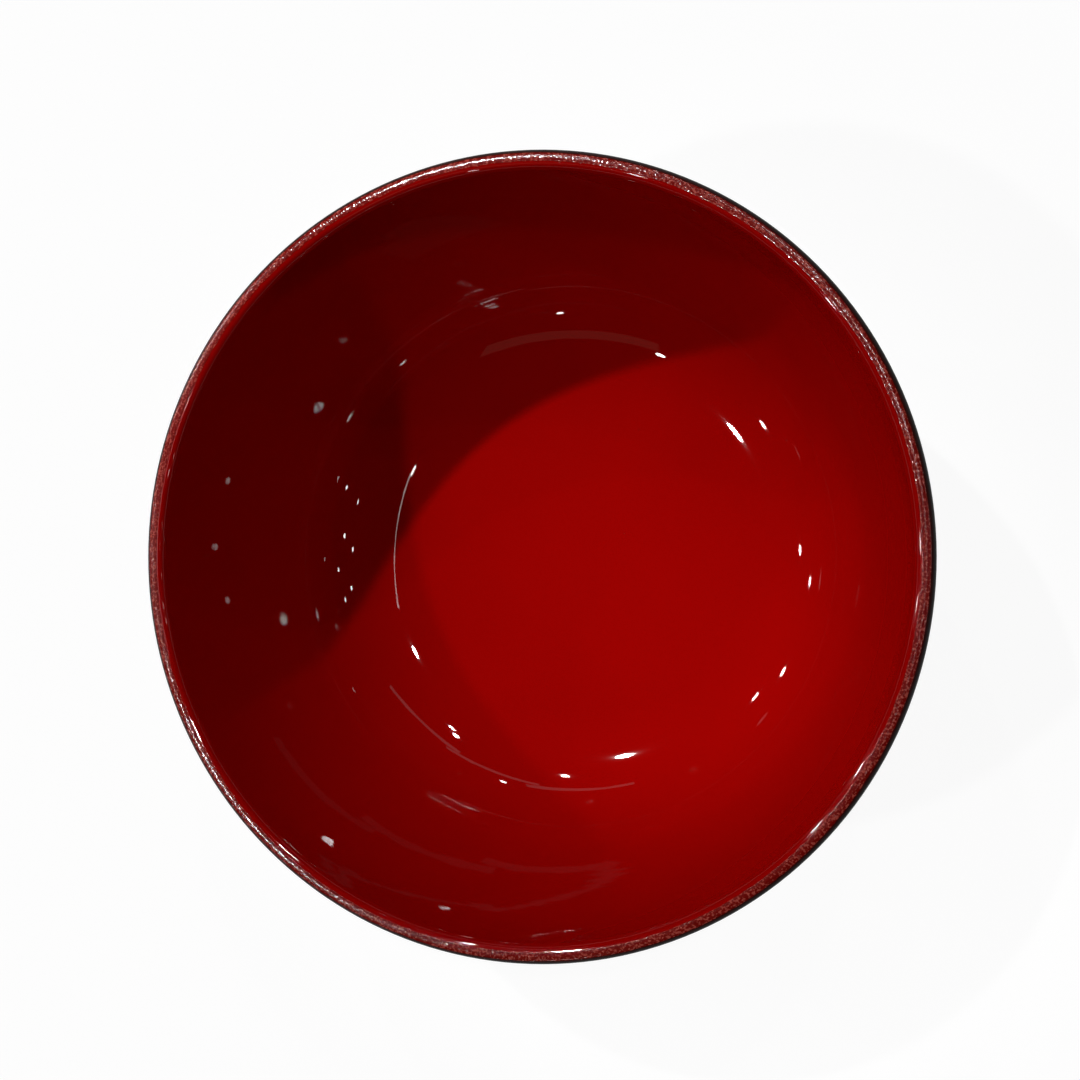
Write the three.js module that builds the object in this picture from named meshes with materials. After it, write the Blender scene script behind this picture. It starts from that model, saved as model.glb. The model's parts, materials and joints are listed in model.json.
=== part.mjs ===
// A lacquered soup bowl: a turned wooden body built up with cloth, ground and lacquer.
// Millimetres, +Z up. The origin is the middle of the foot, on the surface the bowl stands on.

import * as THREE from 'three';

const DEGREE = Math.PI / 180;

// Driving dimensions of the finished bowl.
const RIM_RADIUS = 60; // outside of the lip
const LIP_THICKNESS = 3; // across the full-round lip
const MOUTH_DEPTH = 46.5; // crown of the lip down to the inside floor
const WALL_SPREAD = 7.9; // how far the inside wall leans out between the corner and the lip
const CORNER_RADIUS = 23.5; // hollow between the inside floor and the wall
const CORNER_SWEEP = 65 * DEGREE; // how far the corner turns up before the flatter curve of the wall
const BODY_THICKNESS = 3.8; // body round the corner
const FLOOR_THICKNESS = 6.5; // inside floor down to the roof of the recess
const RECESS_DEPTH = 6; // roof of the recess above the standing surface
const FOOT_RADIUS = 30; // outside of the foot ring
const FOOT_THICKNESS = 4.5; // across the foot ring
const FOOT_EDGE_RADIUS = 1.3; // rounding of the standing edge
const FOOT_FILLET = 2.5; // hollow where the foot ring leaves the body
const RECESS_FILLET = 2; // hollow between the recess wall and its roof

// The layers, from the surface down.
const COAT_THICKNESS = 0.2;
const GROUND_THICKNESS = 0.3; // over cloth; beside the cloth the ground also makes up the cloth's thickness
const CLOTH_THICKNESS = 0.3;
const LIP_CLOTH_LAP = 12; // reach of the lip cloth down each wall, from the lip's rounding
const FLOOR_CLOTH_MARGIN = 4; // floor cloth's edge to the edge of the flat floor

// Where the grained finish of the lip ends, measured from its crown round the rounding.
const GRAIN_INNER_EDGE = 38 * DEGREE;
const GRAIN_OUTER_EDGE = 33 * DEGREE;

// Fineness of the facets.
const TURN_SEGMENTS = 36;
const BROAD_ARC_STEP = 16 * DEGREE;
const TIGHT_ARC_STEP = 46 * DEGREE;
const SAME_POINT = 1e-6;

// Heights and radii that follow from the driving dimensions.
const floorHeight = RECESS_DEPTH + FLOOR_THICKNESS;
const lipRadius = LIP_THICKNESS / 2;
const lipCentre = new THREE.Vector2(RIM_RADIUS - lipRadius, floorHeight + MOUTH_DEPTH - lipRadius);
const floorRadius = RIM_RADIUS - LIP_THICKNESS - WALL_SPREAD - CORNER_RADIUS * Math.sin(CORNER_SWEEP);
const cornerCentre = new THREE.Vector2(floorRadius, floorHeight + CORNER_RADIUS);
const outerCornerRadius = CORNER_RADIUS + BODY_THICKNESS;
const footInnerRadius = FOOT_RADIUS - FOOT_THICKNESS;

// Depths of the faces where the layers meet, below the finished surface.
const coatBase = COAT_THICKNESS;
const clothTop = coatBase + GROUND_THICKNESS;
const coreFace = clothTop + CLOTH_THICKNESS;

const RIGHT_ANGLE = Math.PI / 2;
const heading = (angle) => new THREE.Vector2(Math.cos(angle), Math.sin(angle));

// The section line is the finished bowl's outline in the plane of radius and height. It runs from the middle
// of the inside floor up the wall, over the lip, down the outside, round the foot and back to the axis.
// A station also has the direction into the body, so that each layer is a stretch of the line at two depths.
const stations = [];
const marks = {};
const INTO_CENTRE = -1;
const FROM_CENTRE = 1;

function addStation(point, inward) {
  const last = stations.at(-1);
  if (last === undefined || last.point.distanceTo(point) > SAME_POINT) stations.push({ point, inward });
}

function addArc(centre, radius, from, to, largestStep, bodySide) {
  const steps = Math.max(1, Math.ceil(Math.abs(to - from) / largestStep));
  for (let i = 0; i <= steps; i += 1) {
    const out = heading(from + ((to - from) * i) / steps);
    addStation(centre.clone().addScaledVector(out, radius), out.clone().multiplyScalar(bodySide));
  }
}

function markStation(name) {
  marks[name] = stations.length - 1;
}

// A wall is one arc that leaves the corner arc without a kink and runs into the lip's rounding without one.
// midRadius is the corner arc's radius where it meets the line that ends at the lip's centre.
function wallArc(midRadius, lipSide) {
  const start = cornerCentre.clone().addScaledVector(heading(CORNER_SWEEP - RIGHT_ANGLE), midRadius);
  const chord = lipCentre.clone().sub(start);
  const endSlope = 2 * chord.angle() - CORNER_SWEEP;
  const bend = chord.length() / (2 * Math.sin((endSlope - CORNER_SWEEP) / 2));
  const centre = start.addScaledVector(heading(CORNER_SWEEP - RIGHT_ANGLE), -bend);
  return { centre, radius: bend + lipSide * lipRadius, endSlope };
}

const innerWall = wallArc(CORNER_RADIUS + lipRadius, -1);
const outerWall = wallArc(outerCornerRadius - lipRadius, 1);
const clothSlope = (wall) => wall.endSlope - LIP_CLOTH_LAP / wall.radius;
const asAngle = (slope) => slope - RIGHT_ANGLE;

// Inside: floor, corner and wall.
addStation(new THREE.Vector2(0, floorHeight), new THREE.Vector2(0, -1));
markStation('floorCentre');
addStation(new THREE.Vector2(floorRadius - FLOOR_CLOTH_MARGIN, floorHeight), new THREE.Vector2(0, -1));
markStation('floorClothEdge');
addArc(cornerCentre, CORNER_RADIUS, asAngle(0), asAngle(CORNER_SWEEP), BROAD_ARC_STEP, FROM_CENTRE);
addArc(innerWall.centre, innerWall.radius, asAngle(CORNER_SWEEP), asAngle(clothSlope(innerWall)),
  BROAD_ARC_STEP, FROM_CENTRE);
markStation('lipClothInside');
addArc(innerWall.centre, innerWall.radius, asAngle(clothSlope(innerWall)), asAngle(innerWall.endSlope),
  BROAD_ARC_STEP, FROM_CENTRE);

// Lip, from its inner side over the crown to its outer side.
const lipStops = [
  [innerWall.endSlope + RIGHT_ANGLE, null],
  [RIGHT_ANGLE + GRAIN_INNER_EDGE, 'grainInside'],
  [RIGHT_ANGLE, 'crown'],
  [RIGHT_ANGLE - GRAIN_OUTER_EDGE, 'grainOutside'],
  [asAngle(outerWall.endSlope), null],
];
for (let i = 1; i < lipStops.length; i += 1) {
  const [angle, name] = lipStops[i];
  addArc(lipCentre, lipRadius, lipStops[i - 1][0], angle, TIGHT_ARC_STEP, INTO_CENTRE);
  if (name !== null) markStation(name);
}

// Outside: wall and corner, down to the hollow above the foot, which is tangent to the body and the foot.
const footReach = Math.max(FOOT_RADIUS + FOOT_FILLET - floorRadius, 0);
const footSlope = Math.asin(footReach / (outerCornerRadius + FOOT_FILLET));
const footFilletCentre = new THREE.Vector2(
  FOOT_RADIUS + FOOT_FILLET,
  cornerCentre.y - Math.cos(footSlope) * (outerCornerRadius + FOOT_FILLET),
);
addArc(outerWall.centre, outerWall.radius, asAngle(outerWall.endSlope), asAngle(clothSlope(outerWall)),
  BROAD_ARC_STEP, INTO_CENTRE);
markStation('lipClothOutside');
addArc(outerWall.centre, outerWall.radius, asAngle(clothSlope(outerWall)), asAngle(CORNER_SWEEP),
  BROAD_ARC_STEP, INTO_CENTRE);
addArc(cornerCentre, outerCornerRadius, asAngle(CORNER_SWEEP), asAngle(footSlope), BROAD_ARC_STEP, INTO_CENTRE);
addArc(footFilletCentre, FOOT_FILLET, footSlope + RIGHT_ANGLE, Math.PI, TIGHT_ARC_STEP, FROM_CENTRE);
markStation('footSide');

// Foot ring: its side, standing edge and the recess inside it.
const footEdge = (radius) => new THREE.Vector2(radius, FOOT_EDGE_RADIUS);
addStation(footEdge(FOOT_RADIUS), new THREE.Vector2(-1, 0));
markStation('standingEdgeOutside');
addArc(footEdge(FOOT_RADIUS - FOOT_EDGE_RADIUS), FOOT_EDGE_RADIUS, 0, -RIGHT_ANGLE, TIGHT_ARC_STEP, INTO_CENTRE);
addArc(footEdge(footInnerRadius + FOOT_EDGE_RADIUS), FOOT_EDGE_RADIUS, -RIGHT_ANGLE, -Math.PI,
  TIGHT_ARC_STEP, INTO_CENTRE);
markStation('standingEdgeInside');
const recessCorner = new THREE.Vector2(footInnerRadius - RECESS_FILLET, RECESS_DEPTH - RECESS_FILLET);
addStation(new THREE.Vector2(footInnerRadius, recessCorner.y), new THREE.Vector2(1, 0));
markStation('recessSide');
addArc(recessCorner, RECESS_FILLET, 0, RIGHT_ANGLE, TIGHT_ARC_STEP, FROM_CENTRE);
addStation(new THREE.Vector2(0, RECESS_DEPTH), new THREE.Vector2(0, 1));
markStation('recessCentre');

// A stretch of the section line between two marks, at a depth below the finished surface.
function stretch(from, to, depth) {
  return stations.slice(marks[from], marks[to] + 1)
    .map(({ point, inward }) => point.clone().addScaledVector(inward, depth));
}

// A layer's profile goes out along its base and back along its face.
const layer = (base, face) => [...base, ...face.reverse()];

// Turns a profile round the bowl's axis. One that crosses the axis starts and ends there, and a ring closes.
function turned(profile) {
  const onAxis = (point) => point !== undefined && point.x === 0;
  const crossing = profile.findIndex((point, i) => onAxis(point) && onAxis(profile[i - 1]));
  const rolled = crossing > 0 ? [...profile.slice(crossing), ...profile.slice(0, crossing)] : profile;
  const points = onAxis(rolled[0]) ? rolled : [...rolled, rolled[0].clone()];
  return new THREE.LatheGeometry(points, TURN_SEGMENTS).rotateX(RIGHT_ANGLE);
}

const bowl = new THREE.Group();

function addPiece(name, profile, color, roughness) {
  const material = new THREE.MeshStandardMaterial({ color, roughness, metalness: 0 });
  const mesh = new THREE.Mesh(turned(profile), material);
  mesh.name = name;
  bowl.add(mesh);
}

// Turned wooden body, foot ring included.
addPiece('wood_core', stretch('floorCentre', 'recessCentre', coreFace).reverse(), '#b98d5c', 0.7);

// Cloth glued on the core where a bowl chips and wears: the lip, the floor and the foot ring.
const clothBand = (from, to) => layer(stretch(from, to, coreFace), stretch(from, to, clothTop));
addPiece('lip_cloth', clothBand('lipClothInside', 'lipClothOutside'), '#c8b48c', 0.9);
addPiece('floor_cloth', clothBand('floorCentre', 'floorClothEdge'), '#c8b48c', 0.9);
addPiece('foot_cloth', clothBand('footSide', 'recessSide'), '#c8b48c', 0.9);

// Ground of lacquer and mineral powder. It levels the cloth, and the two sides meet on the lip's crown.
const innerGroundBase = [
  ...stretch('floorCentre', 'floorClothEdge', clothTop),
  ...stretch('floorClothEdge', 'lipClothInside', coreFace),
  ...stretch('lipClothInside', 'crown', clothTop),
];
addPiece('inner_ground', layer(innerGroundBase, stretch('floorCentre', 'crown', coatBase)), '#4b3a30', 0.85);

const outerGroundBase = [
  ...stretch('crown', 'lipClothOutside', clothTop),
  ...stretch('lipClothOutside', 'footSide', coreFace),
  ...stretch('footSide', 'recessSide', clothTop),
  ...stretch('recessSide', 'recessCentre', coreFace),
];
addPiece('outer_ground', layer(outerGroundBase, stretch('crown', 'recessCentre', coatBase)), '#4b3a30', 0.85);

// Finishing coats, each meeting the next edge to edge.
const coat = (from, to) => layer(stretch(from, to, coatBase), stretch(from, to, 0));
addPiece('inner_red_coat', coat('floorCentre', 'grainInside'), '#960503', 0.06);
addPiece('lip_grain_coat', coat('grainInside', 'grainOutside'), '#7c201b', 0.4);
addPiece('outer_black_coat', coat('grainOutside', 'standingEdgeOutside'), '#171110', 0.35);
addPiece('foot_grain_coat', coat('standingEdgeOutside', 'standingEdgeInside'), '#1c1513', 0.5);
addPiece('recess_coat', coat('standingEdgeInside', 'recessCentre'), '#171110', 0.3);

export default bowl;
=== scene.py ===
"""A lacquered soup bowl, built up layer by layer and dressed for its photograph.

Metres, +Z up. The origin is the middle of the foot, on the surface that the bowl stands on.
"""
import json
import math

import bmesh
import bpy
from mathutils import Matrix, Vector


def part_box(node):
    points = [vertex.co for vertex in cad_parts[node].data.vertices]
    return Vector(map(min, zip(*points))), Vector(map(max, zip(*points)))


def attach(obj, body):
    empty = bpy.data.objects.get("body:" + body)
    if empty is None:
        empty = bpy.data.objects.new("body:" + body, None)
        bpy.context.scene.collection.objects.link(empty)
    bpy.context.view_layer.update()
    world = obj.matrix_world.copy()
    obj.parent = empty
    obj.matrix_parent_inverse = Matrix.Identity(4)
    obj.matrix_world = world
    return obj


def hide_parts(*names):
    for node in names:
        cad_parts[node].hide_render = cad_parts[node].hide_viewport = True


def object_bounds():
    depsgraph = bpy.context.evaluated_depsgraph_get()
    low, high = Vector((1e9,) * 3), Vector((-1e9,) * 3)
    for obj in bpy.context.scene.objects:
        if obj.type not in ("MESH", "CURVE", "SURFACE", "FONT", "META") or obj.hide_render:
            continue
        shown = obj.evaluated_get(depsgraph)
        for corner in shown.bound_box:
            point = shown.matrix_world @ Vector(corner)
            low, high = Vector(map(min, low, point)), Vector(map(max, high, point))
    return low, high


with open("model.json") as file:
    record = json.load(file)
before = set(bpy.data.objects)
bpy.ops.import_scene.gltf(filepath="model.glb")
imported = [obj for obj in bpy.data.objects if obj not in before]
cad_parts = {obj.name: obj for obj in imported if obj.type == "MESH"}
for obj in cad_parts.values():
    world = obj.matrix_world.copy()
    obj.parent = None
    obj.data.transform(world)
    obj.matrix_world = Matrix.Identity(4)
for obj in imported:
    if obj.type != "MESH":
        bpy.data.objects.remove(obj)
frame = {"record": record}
cad_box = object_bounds()

# Turned core
# One block of wood turned on a lathe, foot ring and all, and left thinner than the finished bowl by the
# layers that follow. Every layer keeps to its section line, so the line is drawn here first.
MM = 0.001
RIGHT_ANGLE = math.pi / 2
HALF_TURN = math.pi
FULL_TURN = 2 * math.pi

coat = 0.2 * MM
ground = 0.3 * MM
cloth = 0.3 * MM
cloth_top = coat + ground
core_face = cloth_top + cloth

rim_radius = cad_box[1].x
lip_radius = 1.5 * MM
lip_centre = Vector((rim_radius - lip_radius, cad_box[1].z - lip_radius))
grain_inner_edge = math.radians(38)
grain_outer_edge = math.radians(33)
lip_cloth_lap = 12 * MM

floor_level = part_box("inner_red_coat")[0].z + coat
floor_cloth_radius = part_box("floor_cloth")[1].x
floor_cloth_margin = 4 * MM
floor_radius = floor_cloth_radius + floor_cloth_margin
corner_radius = 23.5 * MM
corner_sweep = math.radians(65)
corner_centre = Vector((floor_radius, floor_level + corner_radius))
body_thickness = 3.8 * MM
outer_corner_radius = corner_radius + body_thickness

foot_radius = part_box("foot_grain_coat")[1].x
foot_wall = 4.5 * MM
foot_edge_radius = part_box("foot_grain_coat")[1].z
foot_hollow = 2.5 * MM
recess_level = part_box("recess_coat")[1].z - coat
recess_hollow = 2 * MM


def heading(angle):
    return Vector((math.cos(angle), math.sin(angle)))


def wall_arc(mid_radius, lip_side):
    """Radius and end slope of the arc that joins the corner to the lip's rounding without a kink.

    The lip's side is -1 for the inside wall and 1 for the outside wall.
    """
    start = corner_centre + mid_radius * heading(corner_sweep - RIGHT_ANGLE)
    chord = lip_centre - start
    end_slope = 2 * math.atan2(chord.y, chord.x) - corner_sweep
    bend = chord.length / (2 * math.sin((end_slope - corner_sweep) / 2))
    return bend + lip_side * lip_radius, end_slope


inner_wall_radius, inner_slope = wall_arc(corner_radius + lip_radius, -1)
outer_wall_radius, outer_slope = wall_arc(outer_corner_radius - lip_radius, 1)
inner_lap = lip_cloth_lap / inner_wall_radius
outer_lap = lip_cloth_lap / outer_wall_radius
foot_slope = math.asin((foot_radius + foot_hollow - floor_radius) / (outer_corner_radius + foot_hollow))
foot_side_top = corner_centre.y - math.cos(foot_slope) * (outer_corner_radius + foot_hollow)

# The section line is walked from the middle of the inside floor, up and over the lip, down the outside
# and round the foot to the axis again. A leg is a straight run, or a turn about a centre on the left of
# the walk where its radius is positive and on the right where it is negative. The body lies on the right.
marks = ["floor_centre"]
legs = []


def leg(end_mark, run=0.0, radius=0.0, turn=0.0):
    before = legs[-1] if legs else None
    start = before["end"] if before else Vector((0, floor_level))
    facing = before["facing"] + before["turn"] if before else 0.0
    centre = start + radius * heading(facing + RIGHT_ANGLE)
    end = centre - radius * heading(facing + turn + RIGHT_ANGLE) + run * heading(facing)
    legs.append({"start": start, "facing": facing, "run": run, "centre": centre, "turn": turn, "end": end})
    marks.append(end_mark)


leg("floor_cloth_edge", run=floor_cloth_radius)
leg("floor_edge", run=floor_cloth_margin)
leg("corner_inside", radius=corner_radius, turn=corner_sweep)
leg("lip_cloth_inside", radius=inner_wall_radius, turn=inner_slope - corner_sweep - inner_lap)
leg("lip_inside", radius=inner_wall_radius, turn=inner_lap)
leg("grain_inside", radius=-lip_radius, turn=grain_inner_edge - inner_slope)
leg("crown", radius=-lip_radius, turn=-grain_inner_edge)
leg("grain_outside", radius=-lip_radius, turn=-grain_outer_edge)
leg("lip_outside", radius=-lip_radius, turn=outer_slope - HALF_TURN + grain_outer_edge)
leg("lip_cloth_outside", radius=-outer_wall_radius, turn=-outer_lap)
leg("corner_outside", radius=-outer_wall_radius, turn=corner_sweep - outer_slope + outer_lap)
leg("foot_hollow", radius=-outer_corner_radius, turn=foot_slope - corner_sweep)
leg("foot_side", radius=foot_hollow, turn=RIGHT_ANGLE - foot_slope)
leg("standing_edge_outside", run=foot_side_top - foot_edge_radius)
leg("standing_face_outside", radius=-foot_edge_radius, turn=-RIGHT_ANGLE)
leg("standing_face_inside", run=foot_wall - 2 * foot_edge_radius)
leg("standing_edge_inside", radius=-foot_edge_radius, turn=-RIGHT_ANGLE)
leg("recess_side", run=recess_level - recess_hollow - foot_edge_radius)
leg("recess_corner", radius=recess_hollow, turn=RIGHT_ANGLE)
leg("recess_centre", run=foot_radius - foot_wall - recess_hollow)

ARC_STEP = math.radians(4)
TURN_STEPS = 192
WELD = 0.001 * MM
SHARP_EDGE = math.radians(40)
WALK_AXIS = (0, -1, 0)


def in_section(point):
    return Vector((point.x, 0, point.y))


def draw_line(bm, pen, to):
    end = bmesh.ops.extrude_vert_indiv(bm, verts=[pen])["verts"][0]
    bmesh.ops.translate(bm, verts=[end], vec=to - end.co)
    return end


def draw_stretch(bm, pen, first, last, depth):
    """Walks the section line from one mark to another, either way, at a depth below the surface."""
    begin, finish = marks.index(first), marks.index(last)
    way = 1 if finish > begin else -1
    walked = legs[min(begin, finish):max(begin, finish)][::way]
    from_leg = walked[0]
    origin, facing = from_leg["start"], from_leg["facing"]
    if way < 0:
        origin, facing = from_leg["end"], from_leg["facing"] + from_leg["turn"]
    origin = in_section(origin + depth * heading(facing - RIGHT_ANGLE))
    if pen is None:
        pen = bmesh.ops.create_vert(bm, co=origin)["vert"][0]
    else:
        pen = draw_line(bm, pen, origin)
    for step in walked:
        if step["turn"]:
            arc = bmesh.ops.spin(
                bm, geom=[pen], cent=in_section(step["centre"]), axis=WALK_AXIS, angle=way * step["turn"],
                steps=math.ceil(abs(step["turn"]) / ARC_STEP),
            )
            pen = arc["geom_last"][0]
        else:
            pen = draw_line(bm, pen, pen.co + way * step["run"] * in_section(heading(step["facing"])))
    return pen


def turned(name, *stretches):
    """A solid of revolution whose outline is stretches of the section line, each at its own depth."""
    bm = bmesh.new()
    pen = None
    for first, last, depth in stretches:
        pen = draw_stretch(bm, pen, first, last, depth)
    bm.verts.ensure_lookup_table()
    if bm.verts[0].co.x > WELD:
        bmesh.ops.contextual_create(bm, geom=[pen, bm.verts[0]])
    bmesh.ops.remove_doubles(bm, verts=bm.verts[:], dist=WELD)
    bmesh.ops.spin(
        bm, geom=bm.verts[:] + bm.edges[:], cent=(0, 0, 0), axis=(0, 0, 1), angle=FULL_TURN,
        steps=TURN_STEPS, use_merge=True,
    )
    bmesh.ops.remove_doubles(bm, verts=bm.verts[:], dist=WELD)
    bmesh.ops.recalc_face_normals(bm, faces=bm.faces[:])
    mesh = bpy.data.meshes.new(name)
    bm.to_mesh(mesh)
    bm.free()
    mesh.shade_smooth()
    mesh.set_sharp_from_angle(angle=SHARP_EDGE)
    piece = bpy.data.objects.new(name, mesh)
    bpy.context.scene.collection.objects.link(piece)
    return piece


class Wire:
    """One output in a node tree. Arithmetic on wires and numbers adds Math nodes."""

    def __init__(self, nodes, socket):
        self.nodes = nodes
        self.socket = socket

    def beside(self, name):
        """Another output of the same node."""
        return Wire(self.nodes, self.socket.node.outputs[name])

    def __add__(self, other):
        return self.nodes.maths("ADD", self, other)

    def __radd__(self, other):
        return self.nodes.maths("ADD", other, self)

    def __sub__(self, other):
        return self.nodes.maths("SUBTRACT", self, other)

    def __rsub__(self, other):
        return self.nodes.maths("SUBTRACT", other, self)

    def __mul__(self, other):
        return self.nodes.maths("MULTIPLY", self, other)

    def __truediv__(self, other):
        return self.nodes.maths("DIVIDE", self, other)


class Nodes:
    """A node tree to which nodes are added by type, settings and socket values."""

    def __init__(self, tree):
        self.tree = tree

    def fill(self, node, sockets):
        for key, value in sockets.items():
            socket = node.inputs[key]
            if isinstance(value, Wire):
                self.tree.links.new(value.socket, socket)
            elif socket.type == "RGBA":
                socket.default_value = (*value, 1.0)
            else:
                socket.default_value = value

    def node(self, kind, settings, sockets, out=0):
        node = self.tree.nodes.new(kind)
        for key, value in settings.items():
            setattr(node, key, value)
        self.fill(node, sockets)
        return Wire(self, node.outputs[out])

    def maths(self, operation, *values):
        return self.node("ShaderNodeMath", {"operation": operation}, dict(enumerate(values)))

    def ramp(self, value, low, high):
        """0 below low and 1 above high, with an eased change between them."""
        return self.node(
            "ShaderNodeMapRange", {"interpolation_type": "SMOOTHSTEP"},
            {"Value": value, "From Min": low, "From Max": high},
        )

    def blend(self, share, first, second):
        """Colour mixed from first to second by a share."""
        return self.node("ShaderNodeMix", {"data_type": "RGBA"}, {0: share, 6: first, 7: second}, out=2)


class Finish(Nodes):
    """A material on the piece's own coordinates, with the places that turned work is measured by."""

    def __init__(self, name):
        self.material = bpy.data.materials.new(name)
        self.material.use_nodes = True
        super().__init__(self.material.node_tree)
        self.place = self.node("ShaderNodeTexCoord", {}, {}, out="Object")
        self.x = self.node("ShaderNodeSeparateXYZ", {}, {0: self.place}, out="X")
        self.y = self.x.beside("Y")
        self.z = self.x.beside("Z")
        self.radius = self.maths("SQRT", self.x * self.x + self.y * self.y)
        self.around = self.maths("ARCTAN2", self.y, self.x)

    def vector(self, x, y, z):
        return self.node("ShaderNodeCombineXYZ", {}, {0: x, 1: y, 2: z})

    def noise(self, size, detail=2.0, place=None):
        """Cloudy noise whose lumps are about one size across, from 0 to 1."""
        return self.node(
            "ShaderNodeTexNoise", {}, {"Vector": place or self.place, "Scale": 1 / size, "Detail": detail},
        )

    def bump(self, height, reach, onto=None):
        """Normal of a surface raised by a height of 0 to 1 times its reach, laid over another normal."""
        sockets = {"Height": height, "Distance": reach, "Strength": 1.0}
        if onto is not None:
            sockets["Normal"] = onto
        return self.node("ShaderNodeBump", {}, sockets)

    def surface(self, **sockets):
        shader = self.tree.nodes["Principled BSDF"]
        self.fill(shader, {key.replace("_", " "): value for key, value in sockets.items()})


def seat(piece, finish, node):
    """Gives a piece its finish and puts it on the bowl in place of its CAD node."""
    piece.data.materials.append(finish.material)
    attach(piece, "root")
    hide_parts(node)


wood = Finish("bare turned wood")
pith_offset = 90 * MM
ring_width = 2.2 * MM
ring_stretch = 0.12
pore_stretch = 0.06
ring_place = wood.vector(wood.x + pith_offset, wood.y * ring_stretch, wood.z)
ring_wander = wood.noise(30 * MM, place=ring_place)
ring_distance = wood.node("ShaderNodeVectorMath", {"operation": "LENGTH"}, {0: ring_place}, out="Value")
rings = wood.maths("FRACT", ring_distance / ring_width + ring_wander * 1.6)
pores = wood.noise(0.5 * MM, place=wood.vector(wood.x, wood.y * pore_stretch, wood.z))
ring_shade = wood.ramp(rings, 0.35, 1.0) * 0.6
pore_shade = wood.ramp(pores, 0.55, 0.75) * 0.35
pale_wood = (0.55, 0.33, 0.16)
dark_wood = (0.36, 0.18, 0.075)
wood.surface(
    Base_Color=wood.blend(ring_shade + pore_shade, pale_wood, dark_wood),
    Roughness=0.62 + pores * 0.15,
    Normal=wood.bump(pores, 0.04 * MM),
)
core = turned("turned_core", ("recess_centre", "floor_centre", core_face))
seat(core, wood, "wood_core")

# Cloth strips
# Plain woven hemp set in lacquer over the places that chip and wear: a strip folded over the lip, a disc
# on the inside floor and a strip round the foot ring.
thread_pitch = 1.1 * MM
dark_thread = (0.36, 0.26, 0.13)
pale_thread = (0.66, 0.54, 0.33)


def woven(name, along, across):
    weave = Finish(name)
    warp = weave.maths("SINE", along(weave) * (FULL_TURN / thread_pitch))
    weft = weave.maths("SINE", across(weave) * (FULL_TURN / thread_pitch))
    over = warp * weft * 0.5 + 0.5
    slub = weave.noise(3 * MM)
    shade = over * 0.55 + slub * 0.45
    weave.surface(
        Base_Color=weave.blend(shade, dark_thread, pale_thread),
        Roughness=0.95 - over * 0.15,
        Normal=weave.bump(over, 0.12 * MM),
    )
    return weave


strip_weave = woven("cloth strip", lambda w: w.around * lip_centre.x, lambda w: w.z + w.radius)
disc_weave = woven("cloth disc", lambda w: w.x, lambda w: w.y)


def layer(name, first, last, top, bottom):
    """A layer between two marks of the section line and two depths below the surface."""
    return turned(name, (first, last, top), (last, first, bottom))


lip_cloth = layer("lip_cloth_strip", "lip_cloth_inside", "lip_cloth_outside", cloth_top, core_face)
seat(lip_cloth, strip_weave, "lip_cloth")
floor_cloth = layer("floor_cloth_disc", "floor_centre", "floor_cloth_edge", cloth_top, core_face)
seat(floor_cloth, disc_weave, "floor_cloth")
foot_cloth = layer("foot_cloth_strip", "foot_side", "recess_side", cloth_top, core_face)
seat(foot_cloth, strip_weave, "foot_cloth")

# Ground
# Lacquer thickened with mineral powder, laid on with a spatula over wood and cloth and rubbed down, so
# that the steps at the edges of the cloth no longer show. The inside and outside layers meet on the crown
# of the lip.
filler = Finish("mineral ground")
filler_cloud = filler.noise(6 * MM)
grit = filler.noise(0.25 * MM, detail=3.0)
rubbing = filler.noise(0.6 * MM, place=filler.vector(filler.radius, filler.around * 4 * MM, filler.z))
dark_filler = (0.035, 0.022, 0.017)
pale_filler = (0.12, 0.075, 0.05)
filler.surface(
    Base_Color=filler.blend(filler_cloud * 0.5 + grit * 0.5, dark_filler, pale_filler),
    Roughness=0.75 + grit * 0.2,
    Normal=filler.bump(grit * 0.6 + rubbing * 0.4, 0.03 * MM),
)
inside_ground = turned(
    "inside_ground",
    ("floor_centre", "crown", coat),
    ("crown", "lip_cloth_inside", cloth_top),
    ("lip_cloth_inside", "floor_cloth_edge", core_face),
    ("floor_cloth_edge", "floor_centre", cloth_top),
)
seat(inside_ground, filler, "inner_ground")
outside_ground = turned(
    "outside_ground",
    ("recess_centre", "crown", coat),
    ("crown", "lip_cloth_outside", cloth_top),
    ("lip_cloth_outside", "foot_side", core_face),
    ("foot_side", "recess_side", cloth_top),
    ("recess_side", "recess_centre", core_face),
)
seat(outside_ground, filler, "outer_ground")

# Red inside lacquer
# The coloured coat on the floor and wall, brushed on and polished to a deep gloss, up over the inner edge
# of the lip. It keeps a slight ripple from the brush going round, and a few specks of dust under the last
# coat.
red_gloss = Finish("red gloss lacquer")
red_cloud = red_gloss.noise(28 * MM)
brush_place = red_gloss.vector(red_gloss.radius, red_gloss.around * 3 * MM, red_gloss.z)
brush_ripple = red_gloss.noise(1.3 * MM, place=brush_place)
slow_wave = red_gloss.noise(9 * MM)
speck_spacing = 3.5 * MM
speck_radius = 0.16 * MM
speck_place = red_gloss.vector(red_gloss.x, red_gloss.y, 0.0)
speck_distance = red_gloss.node(
    "ShaderNodeTexVoronoi", {}, {"Vector": speck_place, "Scale": 1 / speck_spacing}, out="Distance",
)
speck_draw = red_gloss.node("ShaderNodeSeparateColor", {}, {0: speck_distance.beside("Color")})
speck_chosen = red_gloss.ramp(speck_draw, 0.62, 0.66)
speck = (1 - red_gloss.ramp(speck_distance * speck_spacing, 0.0, speck_radius)) * speck_chosen
polish = red_gloss.bump(brush_ripple + slow_wave, 0.005 * MM)
deep_red = (0.27, 0.0006, 0.0004)
bright_red = (0.31, 0.0009, 0.0005)
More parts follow.
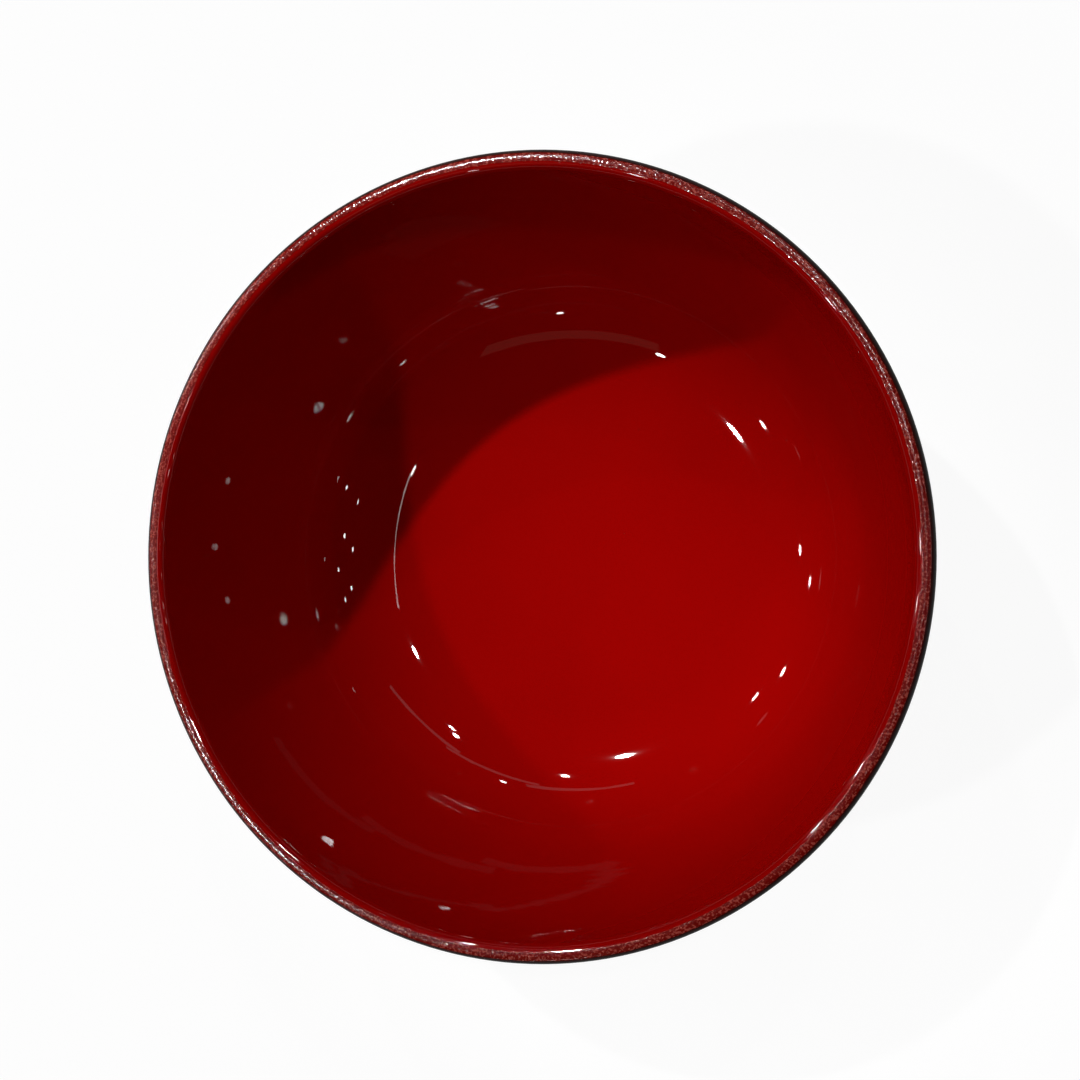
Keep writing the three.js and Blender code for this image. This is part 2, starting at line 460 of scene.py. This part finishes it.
red_gloss.surface(
    Base_Color=red_gloss.blend(red_cloud, deep_red, bright_red),
    Roughness=0.018 + brush_ripple * 0.008,
    Normal=red_gloss.bump(speck, 0.06 * MM, onto=polish),
)
red_coat = layer("red_inside_lacquer", "floor_centre", "grain_inside", 0.0, coat)
seat(red_coat, red_gloss, "inner_red_coat")

# Grained lip lacquer
# A hard-wearing band over the crown of the lip: red lacquer stippled while wet to a fine sandy grain with
# paler tips, which are partly a painted sparkle. The red gloss laps over its inner edge, not quite evenly,
# and towards the black its outer edge goes dark brown.
lip_grain = Finish("grained lip lacquer")
lip_out = lip_grain.radius - lip_centre.x
lip_up = lip_grain.z - lip_centre.y
lip_lean = lip_grain.maths("ARCTAN2", lip_out, lip_up)
edge_wander = (lip_grain.noise(1.6 * MM) - 0.5) * math.radians(14)
gloss_lap = lip_grain.ramp(edge_wander - lip_lean, math.radians(15), math.radians(20))
brown_lap = lip_grain.ramp(edge_wander + lip_lean, math.radians(29), math.radians(35))
grain_share = 1 - gloss_lap
stipple_size = 0.45 * MM
stipple = lip_grain.node(
    "ShaderNodeTexVoronoi", {"feature": "SMOOTH_F1"},
    {"Vector": lip_grain.place, "Scale": 1 / stipple_size, "Smoothness": 0.4}, out="Distance",
)
sand = lip_grain.noise(0.36 * MM, detail=1.0)
grain_height = ((1 - stipple) * 0.6 + sand * 0.6) * grain_share
grain_cloud = lip_grain.noise(1.2 * MM)
# Paler tips of the grain: partly real speckle, partly a painted sparkle in the colour.
grain_tip_and_sparkle = lip_grain.ramp(sand + grain_cloud * 0.3, 0.65, 0.8) * 0.8
dark_grain = (0.14, 0.0025, 0.0015)
red_grain = (0.21, 0.005, 0.003)
# Colour of the tips, which also stands in for painted sparkle.
pale_tip_and_sparkle = (0.45, 0.075, 0.055)
edge_brown = (0.03, 0.003, 0.002)
clouded_red = lip_grain.blend(grain_cloud, dark_grain, red_grain)
tipped_red = lip_grain.blend(grain_tip_and_sparkle, clouded_red, pale_tip_and_sparkle)
edged_red = lip_grain.blend(brown_lap, tipped_red, edge_brown)
lip_grain.surface(
    Base_Color=lip_grain.blend(gloss_lap, edged_red, bright_red),
    Roughness=0.04 + grain_share * 0.11,
    Normal=lip_grain.bump(grain_height, 0.055 * MM),
    Specular_IOR_Level=0.85,
)
lip_coat = layer("grained_lip_lacquer", "grain_inside", "grain_outside", 0.0, coat)
seat(lip_coat, lip_grain, "lip_grain_coat")

# Black outside lacquer
# Satin black over the outer wall and down the side of the foot, brushed round the bowl and rubbed back to
# a soft sheen that grows below the lip. Its brownish upper edge shows as the dark line outside the lip.
black_satin = Finish("black satin lacquer")
black_brush_place = black_satin.vector(black_satin.radius, black_satin.around * 2 * MM, black_satin.z)
black_brush = black_satin.noise(0.9 * MM, place=black_brush_place)
black_cloud = black_satin.noise(14 * MM)
brown_reach = math.radians(60)
brown_bottom = lip_centre.y + lip_radius * math.cos(brown_reach)
brown_top = lip_centre.y + lip_radius * math.cos(grain_outer_edge)
brown_edge = black_satin.ramp(black_satin.z, brown_bottom, brown_top)
deep_black = (0.004, 0.0018, 0.0015)
warm_black = (0.008, 0.0035, 0.003)
black = black_satin.blend(black_cloud, deep_black, warm_black)
below_lip = black_satin.ramp(lip_centre.y - black_satin.z, 2 * MM, 14 * MM)
black_satin.surface(
    Base_Color=black_satin.blend(brown_edge, black, edge_brown),
    Roughness=0.36 + black_cloud * 0.1 + black_brush * 0.06,
    Normal=black_satin.bump(black_brush * 0.5 + black_cloud, 0.012 * MM),
    Coat_Weight=below_lip * 0.4,
    Coat_Roughness=0.2,
    Specular_IOR_Level=0.06,
)
black_coat = layer("black_outside_lacquer", "grain_outside", "standing_edge_outside", 0.0, coat)
seat(black_coat, black_satin, "outer_black_coat")

# Grained foot lacquer
# The standing edge of the foot ring has the lip's sandy grain in black, because it takes the rubbing of
# the table. It is a little paler where it has been rubbed.
foot_grain = Finish("grained foot lacquer")
foot_sand = foot_grain.noise(0.28 * MM, detail=1.0)
foot_cloud = foot_grain.noise(2 * MM)
rubbed_height = foot_edge_radius * 0.3
foot_rub = foot_grain.ramp(rubbed_height - foot_grain.z, 0.0, rubbed_height) * foot_cloud
foot_black = (0.006, 0.004, 0.0035)
rubbed_black = (0.03, 0.022, 0.018)
foot_grain.surface(
    Base_Color=foot_grain.blend(foot_rub, foot_black, rubbed_black),
    Roughness=0.42 + foot_sand * 0.15,
    Normal=foot_grain.bump(foot_sand, 0.06 * MM),
)
foot_coat = layer("grained_foot_lacquer", "standing_edge_outside", "standing_edge_inside", 0.0, coat)
seat(foot_coat, foot_grain, "foot_grain_coat")

# Black recess lacquer
# The hollow inside the foot ring, in the same satin black as the outer wall. It is brushed on from the
# middle out to the grained standing edge.
recess_coat = layer("black_recess_lacquer", "recess_centre", "standing_edge_inside", 0.0, coat)
seat(recess_coat, black_satin, "recess_coat")

# Studio floor and backdrop
# A pale floor that goes off into white, under a dark room. What the camera and the gloss see of the floor
# is mostly white by itself, and the rest is lit by the lamps, which leaves the bowl its shadow.
floor_size = 1.5
fade_start = 0.2
fade_end = 0.8
white_share = 0.85
white_level = 1.08
white = (1, 1, 1)
pale_paper = (0.9, 0.9, 0.9)
standing_level = frame["record"]["mounts"][0]["pos_m"][2]
bm = bmesh.new()
bmesh.ops.create_circle(bm, cap_ends=True, radius=floor_size, segments=96)
bmesh.ops.translate(bm, verts=bm.verts[:], vec=(0, 0, standing_level))
floor_mesh = bpy.data.meshes.new("studio_floor")
bm.to_mesh(floor_mesh)
bm.free()
studio_floor = bpy.data.objects.new("studio_floor", floor_mesh)
bpy.context.scene.collection.objects.link(studio_floor)

paper = Finish("pale studio paper")
paper.surface(Base_Color=pale_paper, Roughness=0.9, Specular_IOR_Level=0.1)


def eye_and_gloss(nodes):
    """1 on rays from the camera, and 1 on rays that a glossy or clear surface sends on."""
    eye = nodes.node("ShaderNodeLightPath", {}, {}, out="Is Camera Ray")
    gloss = nodes.maths("MAXIMUM", eye.beside("Is Glossy Ray"), eye.beside("Is Transmission Ray"))
    return eye, gloss


paper_eye, paper_gloss = eye_and_gloss(paper)
far_off = paper.ramp(paper.radius, fade_start, fade_end)
whiteness = (white_share + far_off * (1 - white_share)) * paper.maths("MAXIMUM", paper_eye, paper_gloss)
lit_paper = Wire(paper, paper.tree.nodes["Principled BSDF"].outputs[0])
white_paper = paper.node("ShaderNodeEmission", {}, {"Color": white, "Strength": white_level})
shown_paper = paper.node("ShaderNodeMixShader", {}, {0: whiteness, 1: lit_paper, 2: white_paper})
paper.fill(paper.tree.nodes["Material Output"], {"Surface": shown_paper})
floor_mesh.materials.append(paper.material)

world = bpy.data.worlds.new("studio")
world.use_nodes = True
bpy.context.scene.world = world
backdrop = Nodes(world.node_tree)
fill_light = 0.005
dark_room = 0.001
white_wall_top = 0.0
dark_ceiling = math.radians(5)
sky_place = backdrop.node("ShaderNodeTexCoord", {}, {}, out="Generated")
sky_up = backdrop.node("ShaderNodeSeparateXYZ", {}, {0: sky_place}, out="Z")
wall = 1 - backdrop.ramp(backdrop.maths("ARCSINE", sky_up), white_wall_top, dark_ceiling)
sky_eye, sky_gloss = eye_and_gloss(backdrop)
sky_on_bowl = sky_gloss * (wall + dark_room) + (1 - sky_gloss) * fill_light
strength = sky_eye + (1 - sky_eye) * sky_on_bowl
backdrop.fill(world.node_tree.nodes["Background"], {"Color": white, "Strength": strength})

# Lamps
# Round studio lamps at the places that the gloss inside the bowl mirrors: a key lamp with a narrow beam, a
# second and an overhead lamp, and a scatter of small ones. Pale panels and a ceiling strip draw the thin
# arcs round the floor. Angles are in degrees, and azimuth is counted from +X towards +Y.
LAMP_DISTANCE = 2.0
DISC_POWER = (math.pi * LAMP_DISTANCE) ** 2  # watts that make white paper facing the lamp look white
BEAM_POWER = 4 * DISC_POWER  # the same for a beam, whose watts are counted over a whole sphere
bowl_middle = Vector((0, 0, lip_centre.y))


def span(angle):
    """How wide an angle is at the lamps' distance."""
    return 2 * LAMP_DISTANCE * math.tan(math.radians(angle) / 2)


def hang(name, light, azimuth, elevation, aim):
    across = math.cos(math.radians(elevation)) * heading(math.radians(azimuth))
    height = math.sin(math.radians(elevation))
    holder = bpy.data.objects.new(name, light)
    holder.location = bowl_middle + LAMP_DISTANCE * Vector((across.x, across.y, height))
    holder.rotation_euler = (aim - holder.location).to_track_quat("-Z", "Y").to_euler()
    holder.visible_camera = False
    bpy.context.scene.collection.objects.link(holder)


def beam_lamp(name, azimuth, elevation, level, width, beam, aim):
    """A round lamp with a soft-edged beam, whose level is how bright white paper facing it looks."""
    light = bpy.data.lights.new(name, "SPOT")
    light.shadow_soft_size = span(width) / 2
    light.spot_size = math.radians(beam)
    light.spot_blend = 1.0
    light.energy = level * BEAM_POWER
    hang(name, light, azimuth, elevation, aim)


def lamp(name, azimuth, elevation, level, width):
    """A round lamp that shines all over the bowl, with a level like the beam lamp's."""
    light = bpy.data.lights.new(name, "AREA")
    light.shape = "DISK"
    light.size = span(width)
    light.energy = level * DISC_POWER
    hang(name, light, azimuth, elevation, bowl_middle)


def panel(name, azimuth, elevation, width, height, glare, colour=white):
    """An oblong whose glare is how bright it looks itself."""
    light = bpy.data.lights.new(name, "AREA")
    light.shape = "RECTANGLE"
    light.color = colour
    light.size = span(width)
    light.size_y = span(height)
    light.energy = glare * math.pi * light.size * light.size_y
    hang(name, light, azimuth, elevation, bowl_middle)


key_aim = Vector((6 * MM, -8 * MM, floor_level))
beam_lamp("key_lamp", azimuth=124.9, elevation=55.7, level=0.92, width=2.4, beam=4.3, aim=key_aim)
lamp("second_lamp", azimuth=-156.7, elevation=57.4, level=0.22, width=2.4)
lamp("overhead_lamp", azimuth=47.3, elevation=70.1, level=0.09, width=2)
small_lamps = (
    (-178.9, 37, 0.015), (175.3, 26.5, 0.018), (158, 26, 0.04), (151.6, 35.2, 0.03), (103.7, 44.5, 0.055),
    (68.2, 50.6, 0.035), (-154, 34.3, 0.022), (-129.1, 45.4, 0.015), (-45, 73, 0.006), (-99.6, 24, 0.008),
    (69.7, 47.3, 0.02), (85, 30, 0.012),
)
for number, (azimuth, elevation, level) in enumerate(small_lamps):
    lamp(f"small_lamp_{number}", azimuth, elevation, level, width=1.6)
far_lamps = ((-20, 25), (-17, 38), (-6, 31), (-2, 39), (4, 26), (10, 36), (13, 29))
for number, (azimuth, elevation) in enumerate(far_lamps):
    lamp(f"far_lamp_{number}", azimuth, elevation, level=0.003, width=1.2)

wall_panels = ((57, 38), (81, 35.5), (105, 33))
for number, (azimuth, elevation) in enumerate(wall_panels):
    panel(f"wall_panel_{number}", azimuth, elevation, width=23, height=2, glare=0.5)
warm_white = (1, 0.6, 0.45)
panel("warm_wall", azimuth=-103, elevation=43, width=36, height=7, glare=0.2, colour=warm_white)
panel("ceiling_strip", azimuth=-8, elevation=75, width=20, height=1, glare=5)

# Camera
# Held above the bowl and leaning to its +X side, close enough for the rim to look larger than the floor.
# Its focal length is given in pixels of the photograph's frame.
CAMERA_DISTANCE = 240 * MM
CAMERA_LEAN = math.radians(15.13)
FRAME_PIXELS = 1080
FOCAL_PIXELS = 1625
SENSOR_WIDTH = 36
aim_offset = Vector((3.26 * MM, 2.34 * MM, 0))
lens = bpy.data.cameras.new("camera")
lens.sensor_width = SENSOR_WIDTH
lens.lens = SENSOR_WIDTH * FOCAL_PIXELS / FRAME_PIXELS
lens.clip_start = 10 * MM
camera = bpy.data.objects.new("camera", lens)
camera.location = bowl_middle + CAMERA_DISTANCE * Vector((math.sin(CAMERA_LEAN), 0, math.cos(CAMERA_LEAN)))
forward = (bowl_middle + aim_offset - camera.location).normalized()
right = forward.cross(Vector((0, 1, 0))).normalized()
camera.rotation_euler = Matrix((right, right.cross(forward), -forward)).transposed().to_euler()
bpy.context.scene.collection.objects.link(camera)
bpy.context.scene.camera = camera
bpy.context.scene.view_settings.view_transform = "Standard"
